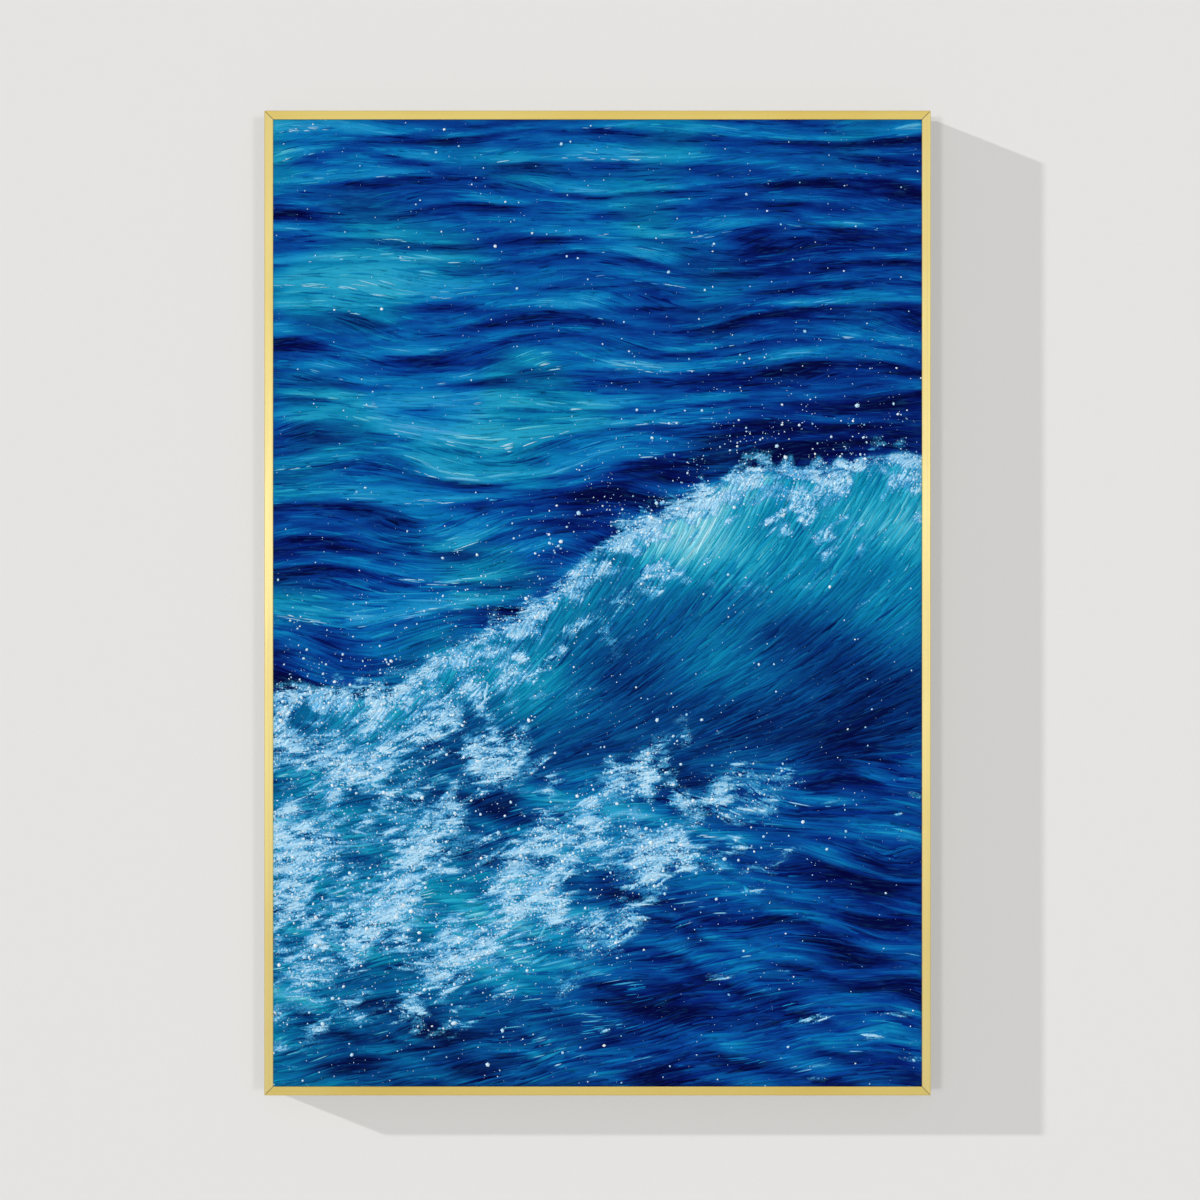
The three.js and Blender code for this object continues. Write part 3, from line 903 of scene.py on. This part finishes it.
def ribbons(path, half_wide, crown):
    """Places and heights of closed ribbons with the section left edge, crown, right edge. The edges
    are sunk in the ground coat."""
    tangent = np.gradient(path, axis=1)
    tangent = tangent / np.maximum(np.linalg.norm(tangent, axis=2, keepdims=True), 1e-9)
    left = np.stack([-tangent[..., 1], tangent[..., 0]], axis=-1)
    side = np.array([-1.0, 0.0, 1.0])[:, None]
    place = path[:, :, None] + side * left[:, :, None] * half_wide[:, :, None, None]
    room = np.array([half_width, half_height]) - EDGE_ROOM
    place = np.clip(place, -room, room)
    height = np.full(place.shape[:3], SUNK)
    height[:, :, 1] = crown * (0.12 + 0.88 * near_lip(place[:, :, 1, 0], place[:, :, 1, 1]))
    return place, height


def ribbon_faces(count, stations):
    """Undersides first and the two slopes last, so that the slopes win on the front map."""
    near = ((np.arange(count)[:, None] * stations + np.arange(stations - 1)) * 3).ravel()[:, None]
    slopes = np.stack([near + np.array([0, 3, 4, 1]), near + np.array([1, 4, 5, 2])], axis=1).reshape(-1, 4)
    under = near + np.array([2, 5, 3, 0])
    start = np.arange(count)[:, None] * stations * 3
    ends = np.concatenate([start + np.array([0, 1, 2]), start + (stations - 1) * 3 + np.array([2, 1, 0])])
    return [under, ends, slopes]


def add_to_picture(piece, points):
    """Counts a finished piece as part of the picture, and gives it the front map."""
    add_front_map(piece, points)
    painted.append(piece)
    print(piece.name, len(piece.data.polygons), "faces")


def paint_strokes(
    name, material, stations, x, z, length, wide, thick, lift, turn, greener=0.0, more_foam=0.0
):
    """A piece made of strokes, thin ones first, so that thicker ones lie over them on every map.
    Along its crown a stroke is lighter, greener or foamier than the plan by its own amounts."""
    marks = np.broadcast_arrays(x, z, length, wide, thick, lift, turn, greener, more_foam)
    order = np.argsort(thick)
    x, z, length, wide, thick, lift, turn, greener, more_foam = (values[order] for values in marks)
    shape = leaf(stations, 0.7)
    half_wide = wide[:, None] / 2 * shape
    path = stroke_paths(x, z, length, stations, turn)
    place, height = ribbons(path, half_wide, thick[:, None] * (0.35 + 0.65 * shape))
    points = on_canvas(place[..., 0], place[..., 1], height)
    piece = new_piece(name, points, ribbon_faces(len(x), stations), material, (0, 1))
    plan = sea(place[..., 0].ravel(), place[..., 1].ravel())
    stroke = np.repeat(np.arange(len(x)), stations * 3)
    crown = np.tile([0.0, 1.0, 0.0], len(x) * stations)
    add_colours(piece, "paint", water_of(plan, lift[stroke], greener[stroke]))
    add_colours(piece, "under", water_of(plan))
    add_numbers(piece, "foam", np.clip(plan["foam"] + crown * more_foam[stroke], 0, 1.3))
    add_numbers(piece, "light", np.clip(plan["light"] + 1.5 * lift[stroke], 0, 1))
    loaded = (shape ** 0.5)[:, None] * np.array([0.0, 1.0, 0.0])
    add_numbers(piece, "load", np.broadcast_to(loaded, (len(x), stations, 3)))
    t = np.linspace(0, 1, stations)
    along = np.broadcast_to((length[:, None] * t)[:, :, None], height.shape) + x[:, None, None] * 7.3
    across = half_wide[:, :, None] * np.array([-1.0, 0.0, 1.0]) + z[:, None, None] * 3.1
    add_map(piece, "stroke", np.stack([along.ravel(), across.ravel()], axis=-1))
    add_to_picture(piece, points)


TRIES = 14


def scatter(count, seed, weight):
    """Places drawn over the open picture: each is kept if a random number is under its weight, which
    is a function of the plan. TRIES places are drawn for each that is wanted. Returns x, z, the plan
    there, the source of random numbers and how many places there are."""
    draw = np.random.default_rng(seed)
    tries = count * TRIES
    x = draw.uniform(-sight_x - 1, sight_x + 1, tries)
    z = draw.uniform(-sight_z - 1, sight_z + 1, tries)
    plan = sea(x, z)
    kept = np.flatnonzero(draw.uniform(0, 1, tries) < weight(plan))[:count]
    return x[kept], z[kept], {key: values[kept] for key, values in plan.items()}, draw, len(kept)


broad_paint = stroke_paint("broad_strokes", 0.9, 0.46, 0.8)
ripple_paint = stroke_paint("ripple_strokes", 1.1, 0.44, 0.6)


def broad_strokes():
    """Wide thin strokes everywhere, fewer under foam."""
    x, z, plan, draw, count = scatter(3000, 21, lambda plan: 1 - 0.5 * rise(plan["foam"], 0.3, 0.7))
    scale = 0.6 + 0.6 * plan["near"]
    paint_strokes(
        "broad_strokes", broad_paint, 9, x, z,
        length=draw.uniform(30, 95, count) * scale,
        wide=draw.uniform(4.5, 11, count) * scale,
        thick=draw.uniform(0.10, 0.30, count),
        lift=draw.normal(0, 0.045, count),
        greener=draw.normal(0, 0.12, count),
        turn=draw.normal(0, 0.04, count),
    )


def ripple_strokes():
    """Strokes along the ridges: mostly lighter on a ridge's lit side and darker on its other."""

    def open_water(plan):
        return (1 - plan["face"] * 0.6) * (1 - 0.7 * rise(plan["foam"], 0.2, 0.6))

    x, z, plan, draw, count = scatter(3600, 22, open_water)
    scale = 0.55 + 0.75 * plan["near"]
    light = draw.uniform(0, 1, count) < 0.5 + 0.45 * plan["ridge"]
    paint_strokes(
        "ripple_strokes", ripple_paint, 7, x, z,
        length=draw.uniform(18, 66, count) * scale,
        wide=draw.uniform(2.0, 6.0, count) * scale,
        thick=draw.uniform(0.24, 0.42, count),
        lift=np.where(light, draw.uniform(0.02, 0.17, count), -draw.uniform(0.04, 0.22, count)),
        greener=draw.normal(0, 0.15, count),
        turn=draw.normal(0, 0.05, count),
    )


def face_streaks():
    """Strokes up the wave's face, which pick up foam where it is bright."""

    def clear_face(plan):
        return plan["face"] * (1 - 0.6 * rise(plan["foam"], 0.45, 0.8))

    x, z, plan, draw, count = scatter(1450, 23, clear_face)
    light = draw.uniform(0, 1, count) < 0.55
    paint_strokes(
        "face_streaks", ripple_paint, 9, x, z,
        length=draw.uniform(14, 56, count),
        wide=draw.uniform(2.6, 8.0, count),
        thick=draw.uniform(0.26, 0.46, count),
        lift=np.where(light, draw.uniform(0.01, 0.10, count), -draw.uniform(0.01, 0.09, count)),
        greener=draw.normal(0.03, 0.12, count),
        more_foam=np.maximum(draw.normal(-0.08, 0.24, count), 0) * rise(plan["tone"], 0.1, 0.6),
        turn=draw.normal(0, 0.09, count),
    )


def bright_lines():
    """Short pale lines along the ridges' edges."""
    x, z, plan, draw, count = scatter(1300, 24, lambda plan: 0.8 * plan["line"])
    scale = 0.6 + 0.6 * plan["near"]
    paint_strokes(
        "bright_lines", ripple_paint, 5, x, z,
        length=draw.uniform(6, 26, count) * scale,
        wide=draw.uniform(1.0, 2.4, count) * scale,
        thick=draw.uniform(0.34, 0.5, count),
        lift=draw.uniform(0.24, 0.6, count),
        turn=draw.normal(0, 0.06, count),
    )


broad_strokes()
ripple_strokes()
face_streaks()
bright_lines()

# %% [markdown]
# ## Foam, dabs and drops
#
# Foam is laid on last and thickest: short strokes that carry more foam than the water round them,
# round dabs pushed on with the brush's tip, and drops flicked from it. A dab is a low dome: an
# uneven ring on the ground coat, a smaller ring higher up, and a crown point. A drop is the same
# with fewer corners.

# %% Foam, dabs and drops
SHOULDER = 0.62


def domes(name, x, z, long, short, angle, high, colours, under, corners, uneven, seed):
    """Closed domes: ring radius = ellipse times (1 + a random share) at the foot, SHOULDER of that at
    0.75 of the height, and a point on top."""
    order = np.argsort(high)
    marks = (x, z, long, short, angle, high, colours, under)
    x, z, long, short, angle, high, colours, under = (values[order] for values in marks)
    draw = np.random.default_rng(seed)
    count = len(x)
    around = np.linspace(0, 2 * math.pi, corners, endpoint=False)
    share = 1 + uneven * draw.uniform(-1, 1, (count, corners))
    along = np.cos(around) * long[:, None] * share
    across = np.sin(around) * short[:, None] * share
    cos, sin = np.cos(angle)[:, None], np.sin(angle)[:, None]

    def rings(centre, offset, half):
        place = np.concatenate([centre + offset, centre + SHOULDER * offset, centre], axis=1)
        return np.clip(place, EDGE_ROOM - half, half - EDGE_ROOM)

    place_x = rings(x[:, None], along * cos - across * sin, half_width)
    place_z = rings(z[:, None], along * sin + across * cos, half_height)
    top = high[:, None] * (0.15 + 0.85 * near_lip(place_x, place_z))
    share_of_top = np.repeat([0.0, 0.75, 1.0], [corners, corners, 1])
    height = np.where(share_of_top > 0, share_of_top * top, SUNK)
    points = on_canvas(place_x, place_z, height)
    size = 2 * corners + 1
    start = np.arange(count)[:, None] * size
    ring = np.arange(corners)
    after = (ring + 1) % corners
    sides = np.stack([ring, after, after + corners, ring + corners], axis=1)
    caps = np.stack([ring + corners, after + corners, np.full(corners, 2 * corners)], axis=1)
    side_faces = (start[:, :, None] + sides[None]).reshape(-1, 4)
    cap_faces = (start[:, :, None] + caps[None]).reshape(-1, 3)
    feet = start + ring[::-1]
    faces = [feet, side_faces, cap_faces]
    piece = new_piece(name, points, faces, stiff_paint, (0,))
    add_colours(piece, "paint", np.repeat(colours, size, axis=0))
    add_colours(piece, "under", np.repeat(under, size, axis=0))
    add_to_picture(piece, points)


stiff_paint = thick_paint("stiff_paint")
foam_paint = stroke_paint("foam_strokes", 1.3, 0.46, 0.9)


def foam_strokes():
    """Short strokes at odd angles, which carry more foam than the water round them."""
    x, z, plan, draw, count = scatter(3000, 31, lambda plan: rise(plan["foam"], 0.10, 0.7))
    scale = 0.7 + 0.5 * plan["near"]
    paint_strokes(
        "foam_strokes", foam_paint, 7, x, z,
        length=draw.uniform(7, 26, count) * scale,
        wide=draw.uniform(2.6, 7.0, count) * scale,
        thick=draw.uniform(0.30, 0.58, count),
        lift=draw.normal(0.02, 0.10, count),
        greener=draw.normal(0, 0.1, count),
        more_foam=draw.normal(0.08, 0.30, count),
        turn=draw.normal(0, 0.25, count),
    )


def foam_dabs():
    """Oval dabs along the water's direction, a few large and many small."""
    x, z, plan, draw, count = scatter(2600, 32, lambda plan: rise(plan["foam"], 0.25, 1.0))
    long = np.clip(draw.gamma(2.2, 0.42, count), 0.45, 3.4) * (0.7 + 0.5 * plan["near"])
    light = plan["light"] * (0.4 + 0.4 * plan["foam"]) + draw.normal(0.26, 0.16, count)
    domes(
        "foam_dabs", x, z, long,
        short=long * draw.uniform(0.4, 0.9, count),
        angle=heading(x, z) + draw.normal(0, 0.5, count),
        high=draw.uniform(0.3, 0.7, count),
        colours=foam(np.clip(light, 0, 1)), under=water_of(plan, 0.2),
        corners=6, uneven=0.3, seed=33,
    )


def drops():
    """Round flecks: most in the spray over the crest, some on foam, and a few everywhere."""

    def spattered(plan):
        return 0.03 + 0.9 * plan["spray"] + 0.35 * rise(plan["foam"], 0.1, 0.6)

    x, z, plan, draw, count = scatter(8200, 34, spattered)
    size = np.clip(draw.gamma(1.7, 0.30, count) * (1 + 0.5 * plan["spray"]), 0.36, 2.6)
    domes(
        "drops", x, z, size,
        short=size * draw.uniform(0.7, 1.0, count),
        angle=draw.uniform(0, 3, count),
        high=0.28 + 0.25 * size,
        colours=foam(draw.beta(4.0, 1.0, count)), under=foam(draw.uniform(0.6, 0.9, count)),
        corners=5, uneven=0.12, seed=35,
    )


foam_strokes()
foam_dabs()
drops()

# %% [markdown]
# ## The cloth
#
# The canvas is one rectangle of primed cotton, pulled over the bars: the front, four sides, and a
# flap on the back. Primer and stray paint show on the outside; from behind, the bare cotton shows
# between the bars. It is modelled as a closed shell: two grids, one a cloth's thickness behind the
# other, and rings that carry their rims round the bars and back again.

# %% The cloth
WRAP_DEPTH = (canvas_high[1] - canvas_low[1]) / MM
CLOTH = 0.55
SIDE_CLOTH = 0.85
FLAP = 30.0
OUTER_TURN = 1.3
STAPLE_START = 52.0
STAPLE_PITCH = 44.0


def wrap_profile():
    """Rings as (inset, depth, outside, overrun of paint, pucker): outside first, then inside."""
    out = COAT + 0.02
    inner = out + CLOTH
    back, bars = WRAP_DEPTH, WRAP_DEPTH - SIDE_CLOTH
    bend = OUTER_TURN * (1 - math.sqrt(0.5))
    outside = [
        (bend, out + bend, 1, 1.0, 0), (0, out + OUTER_TURN, 1, 1.0, 0), (0, 0.5 * back, 1, 0.9, 0),
        (0, back - OUTER_TURN, 1, 0.75, 0), (bend, back - bend, 1, 0.7, 0), (OUTER_TURN, back, 1, 0.6, 0),
        (9, back, 1, 0.25, 0.25), (20, back, 1, 0.0, 0.7), (FLAP, back - 0.1, 1, 0.0, 1.0),
    ]
    inside = [
        (FLAP, bars, 0, 0.0, 1.0), (20, bars, 0, 0.0, 0.7), (9, bars, 0, 0.0, 0.25),
        (SIDE_CLOTH + 0.4, bars, 0, 0.0, 0), (SIDE_CLOTH, bars - 0.4, 0, 0.0, 0),
        (SIDE_CLOTH, inner + 0.6, 0, 0.0, 0),
    ]
    return np.array(outside + inside), out, inner


def pucker(x, z):
    """How far the flap lifts between two staples: a raised cosine of the way along the side, which
    dies out towards the corners."""
    on_level = half_height - np.abs(z) < 0.01
    way = np.where(on_level, x + half_width, z + half_height) - STAPLE_START
    room = np.where(on_level, half_width - np.abs(x), half_height - np.abs(z))
    return 0.45 * (1 - np.cos(2 * math.pi * way / STAPLE_PITCH)) * rise(room, 34, 60)


def canvas_cloth(material):
    """Two grids and the rings between their rims; a ring is the rim scaled in by its inset. The inner
    grid sags a little where no bar holds it."""
    x, z = canvas_grid(10.0)
    rows, columns = x.shape
    profile, out, inner = wrap_profile()
    rim = grid_rim(rows, columns)
    count = len(rim)

    def shrunk(x, z, inset):
        return x * (half_width - inset) / half_width, z * (half_height - inset) / half_height

    front_x, front_z = shrunk(x, z, OUTER_TURN)
    back_x, back_z = shrunk(x, z, SIDE_CLOTH + 0.6)
    unheld = rise(half_width - np.abs(x), 40, 120) * rise(half_height - np.abs(z), 40, 120)
    slack = 0.12 * soft_noise(x, z, 120, 41) * unheld
    rim_x, rim_z = x.ravel()[rim], z.ravel()[rim]
    lift = profile[:, 4:5] * pucker(rim_x, rim_z)
    ring_x, ring_z = shrunk(rim_x, rim_z, profile[:, :1] + 1.5 * lift * soft_noise(rim_x, rim_z, 40, 42))
    points = np.concatenate([
        on_canvas(front_x, front_z, -out),
        on_canvas(back_x, back_z, -inner - np.abs(slack)),
        on_canvas(ring_x, ring_z, -profile[:, 1:2] - lift),
    ])
    grid = rows * columns
    rings = 2 * grid + np.arange(len(profile))[:, None] * count + np.arange(count)
    chain = [rim, *rings, grid + rim]
    quads = [ring_quads(first, second) for first, second in zip(chain[:-1], chain[1:])]
    faces = [grid_quads(rows, columns), grid + grid_quads(rows, columns)[:, ::-1], np.concatenate(quads)]
    piece = new_piece("canvas_cloth", points, faces, material)
    for name, column in (("outside", 2), ("overrun", 3)):
        on_rings = np.repeat(profile[:, column], count)
        add_numbers(piece, name, np.concatenate([np.ones(grid), np.zeros(grid), on_rings]))
    return piece


def primed_cotton():
    """Raw cotton with its weave inside, white primer outside, and blue paint that ran over the edge."""
    finish = Finish("primed_cotton", Specular_IOR_Level=0.25)
    place = finish.place()
    threads = finish.noise(place, (900.0, 400.0, 900.0))
    stain = finish.noise(place, 9.0, 4.0)
    weave = weave_height(finish, finish.face_on())
    raw = finish.tint("#f0e8d6", threads, 0.35, 0.7, 1.0, "#ddd1b8")
    raw = finish.tint(raw, stain, 0.5, 0.8, 0.3, "#cdbf9f")
    # Darker where the weave is low, between the threads: painted shade in the weave's hollows.
    raw = finish.tint(raw, weave, 0.5, 0.0, 0.35, "#b5a585")
    primer = finish.tint("#f1efe9", threads, 0.3, 0.75, 0.4, "#dcd9d0")
    smear = finish.noise(place, (70.0, 90.0, 70.0), 4.0, 0.65)
    run = finish.number_of("overrun") * 0.9 + smear - 0.5
    primer = finish.tint(primer, run, 0.42, 0.5, 1.0, "#0b4f8c")
    colour = finish.tint(raw, finish.number_of("outside"), 0.45, 0.55, 1.0, primer)
    normal = finish.bump(weave * 0.6 + threads * 0.4, 0.00028, 0.8)
    return finish.use(Base_Color=colour, Roughness=0.78 + (threads - 0.5) * 0.2, Normal=normal)


cotton = primed_cotton()
cloth = canvas_cloth(cotton)
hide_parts("painted_canvas")
print("cloth", len(cloth.data.polygons), "faces")

# %% [markdown]
# ## Corner folds and staples
#
# At a corner there is cloth to spare. It is pulled into a flat pleat that lies on the flap, widest
# at its inner end. Staples hold the flap all round, about two fingers' width apart, and the cloth
# lifts a little between them. A staple is a flat wire bent twice: its section is carried along a
# path of six points.

# %% Corner folds and staples
def corner_folds():
    """Four pleats: width grows with the distance from the corner, and the section is a flat roll,
    height = (1 - |across|^4)^(1/2), on a flat underside."""
    stations, ribs = 12, 9
    t = np.linspace(0.04, 1, stations)[:, None]
    s = np.linspace(-1, 1, ribs)[None, :]
    way = t * (FLAP - 1) * math.sqrt(2)
    off = 8.0 * t * (1 + s) - 1.5
    high = 1.15 * np.sqrt(1 - np.abs(s) ** 4) * (0.35 + 0.65 * t)
    diagonal = math.sqrt(0.5)
    inset_x = 1.0 + (way + off) * diagonal
    inset_z = 1.0 + (way - off) * diagonal
    sheets = []
    for sign_x, sign_z in ((1, 1), (-1, 1), (-1, -1), (1, -1)):
        x = sign_x * (half_width - inset_x)
        z = sign_z * (half_height - inset_z)
        top = on_canvas(x, z, -WRAP_DEPTH - high)
        foot = on_canvas(x, z, -WRAP_DEPTH + 0.1)
        sheets.append(np.concatenate([top, foot]))
    grid = stations * ribs
    rim = grid_rim(stations, ribs)
    quads = grid_quads(stations, ribs)
    one = np.concatenate([quads, grid + quads[:, ::-1], ring_quads(rim, grid + rim)])
    faces = np.concatenate([one if index % 2 else one[:, ::-1] for index in range(4)])
    faces = faces + np.repeat(np.arange(4) * 2 * grid, len(one))[:, None]
    piece = new_piece("corner_folds", np.concatenate(sheets), [faces], cotton)
    add_numbers(piece, "outside", np.ones(8 * grid))
    add_numbers(piece, "overrun", np.tile(np.repeat([0.5, 0.2, 0.0], grid // 3), 8))
    return piece


STAPLE_INSET = 15.0
STAPLE_END = 50.0
CROWN = 5.2
WIRE = 0.32


def staple_places():
    """Centres and angles along the four flaps, jittered by a hand."""
    draw = np.random.default_rng(51)
    across = np.arange(-half_width + STAPLE_START, half_width - STAPLE_END, STAPLE_PITCH)
    up = np.arange(-half_height + STAPLE_START, half_height - STAPLE_END, STAPLE_PITCH)
    edge_x, edge_z = half_width - STAPLE_INSET, half_height - STAPLE_INSET
    x = np.concatenate([across, across, np.full(len(up), edge_x), np.full(len(up), -edge_x)])
    z = np.concatenate([np.full(len(across), edge_z), np.full(len(across), -edge_z), up, up])
    angle = np.repeat([0.0, math.pi / 2], [2 * len(across), 2 * len(up)])
    count = len(x)
    angle = angle + draw.normal(0.25, 0.12, count)
    return x + draw.normal(0, 1.4, count), z + draw.normal(0, 1.4, count), angle


def staples():
    """A square wire section carried along the bent path (along, height) of each staple."""
    x, z, angle = staple_places()
    rest = WRAP_DEPTH + WIRE
    along = np.array([-CROWN, -CROWN, -CROWN + 0.35, CROWN - 0.35, CROWN, CROWN])
    deep = rest + np.array([-1.6, -0.4, 0.0, 0.0, -0.4, -1.6])
    normal_along = np.array([-1, -0.85, -0.5, 0.5, 0.85, 1])
    normal_deep = np.array([0, 0.5, 0.85, 0.85, 0.5, 0])
    corner = np.array([(-1, -1), (-1, 1), (1, 1), (1, -1)])
    at_along = along[:, None] + WIRE * corner[:, 1] * normal_along[:, None]
    at_deep = deep[:, None] + WIRE * corner[:, 1] * normal_deep[:, None]
    side = np.broadcast_to(WIRE * 1.3 * corner[:, 0], at_along.shape)
    cos, sin = np.cos(angle)[:, None, None], np.sin(angle)[:, None, None]
    place_x = x[:, None, None] + at_along * cos - side * sin
    place_z = z[:, None, None] + at_along * sin + side * cos
    points = on_canvas(place_x, place_z, np.broadcast_to(-at_deep, place_x.shape))
    start = np.arange(len(x))[:, None] * at_along.size
    ring = np.arange(4)
    last = at_along.size - 4
    walls = np.concatenate([ring_quads(first + ring, first + 4 + ring) for first in range(0, last, 4)])
    caps = np.array([ring[::-1] + last, ring])
    faces = (start[:, :, None] + np.concatenate([walls, caps])[None]).reshape(-1, 4)
    new_piece("staples", points, [faces], zinc_steel, (0,))
    print("staples", len(x))


folds = corner_folds()
print("corner folds", len(folds.data.polygons), "faces")
staples()
for piece in painted:
    only_paint.objects.link(piece)
